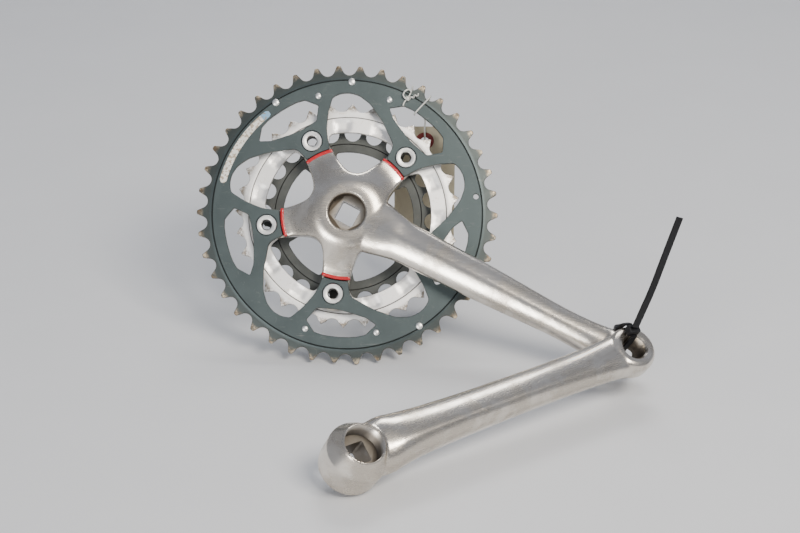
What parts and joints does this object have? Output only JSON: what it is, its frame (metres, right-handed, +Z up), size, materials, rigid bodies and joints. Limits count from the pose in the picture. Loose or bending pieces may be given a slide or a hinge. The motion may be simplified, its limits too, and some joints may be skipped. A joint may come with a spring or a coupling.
{
  "type": "bicycle crankset",
  "caption": "Square-taper bicycle crankset: a triple-chainring drive-side crank with its loose non-drive arm cable-tied to the pedal eye and a shop tag on a wire.",
  "frame": {"origin": "on the drive-side crank's bottom-bracket axis, in the middle plane of the outer chainring", "axes": "+Z up and +X to the right as seen from the drive side; the chainrings lean back 31 degrees, so the bottom-bracket axis points inboard along (0, 0.857, -0.515)"},
  "size_m": [0.2697, 0.2376, 0.1506],
  "materials": {
    "satin_aluminium": "worn satin",
    "anodised_grey": "dark grey anodised, worn teeth",
    "bright_aluminium": "bright, worn",
    "dark_steel": "blackened",
    "bright_steel": "bright plated",
    "black_nylon": "satin nylon",
    "zinc_wire": "galvanised",
    "manila_card": "card",
    "red_fibre": "vulcanised fibre"
  },
  "bodies": {
    "drive_side_crank": {"right_crank_arm": "satin_aluminium", "outer_chainring": "anodised_grey", "middle_chainring": "bright_aluminium", "inner_chainring": "dark_steel", "chainring_bolt_1": "bright_steel", "chainring_bolt_2": "bright_steel", "chainring_bolt_3": "bright_steel", "chainring_bolt_4": "bright_steel", "chainring_bolt_5": "bright_steel", "chainring_nut_1": "bright_steel", "chainring_nut_2": "bright_steel", "chainring_nut_3": "bright_steel", "chainring_nut_4": "bright_steel", "chainring_nut_5": "bright_steel", "inner_ring_bolt_1": "bright_steel", "inner_ring_bolt_2": "bright_steel", "inner_ring_bolt_3": "bright_steel", "inner_ring_bolt_4": "bright_steel", "inner_ring_bolt_5": "bright_steel", "ramp_rivet_1": "bright_steel", "ramp_rivet_2": "bright_steel", "ramp_rivet_3": "bright_steel", "ramp_rivet_4": "bright_steel", "ramp_rivet_5": "bright_steel", "ramp_rivet_6": "bright_steel", "ramp_rivet_7": "bright_steel", "zip_tie_loop": "black_nylon", "zip_tie_head": "black_nylon", "zip_tie_tail": "black_nylon", "tag_wire": "zinc_wire"},
    "left_arm": {"left_crank_arm": "satin_aluminium"},
    "tag": {"tag_card": "manila_card", "tag_eyelet": "red_fibre"}
  },
  "joints": [
    {"name": "left_arm_swing", "type": "hinge", "parent": "drive_side_crank", "child": "left_arm", "pos_m": [0.1587, -0.0846, -0.0409], "axis": [0.3447, -0.4762, 0.8089], "range_deg": [-35, 0]},
    {"name": "tag_swing", "type": "hinge", "parent": "drive_side_crank", "child": "tag", "pos_m": [0.045, 0.04, 0.0294], "axis": [0, 1, 0], "range_deg": [-20, 20]}
  ]
}
